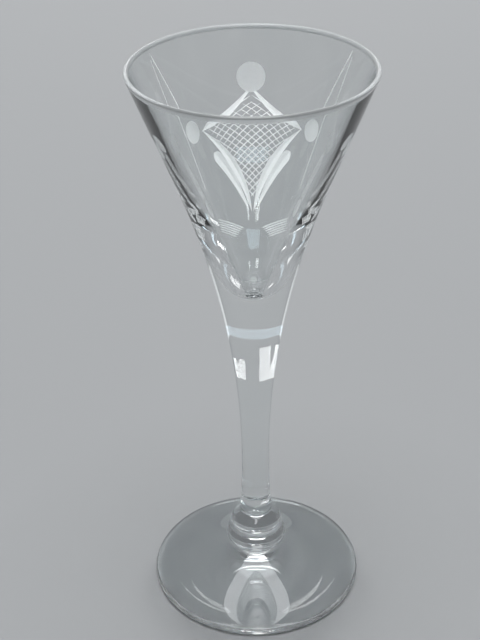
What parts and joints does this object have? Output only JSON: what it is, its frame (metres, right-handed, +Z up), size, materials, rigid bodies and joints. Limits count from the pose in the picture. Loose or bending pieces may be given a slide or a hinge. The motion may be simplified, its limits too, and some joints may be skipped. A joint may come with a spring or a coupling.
{
  "type": "cordial glass",
  "caption": "Clear stemmed cordial glass: flared trumpet bowl with wheel-cut ornament, slim drawn stem, small knop and round foot, for sipping liqueur.",
  "frame": {"origin": "centre of the foot on the plane it stands on", "axes": "+Z up along the axis of the glass; -Y faces the viewer of the picture"},
  "size_m": [0.0522, 0.0522, 0.133],
  "materials": {
    "clear_glass": "fire polished",
    "cut_glass": "fire polished with grey wheel-cut ornament"
  },
  "bodies": {
    "root": {"bowl": "cut_glass", "stem": "clear_glass", "stem_collar": "clear_glass", "knop": "clear_glass", "wafer": "clear_glass", "foot": "clear_glass"}
  },
  "joints": []
}
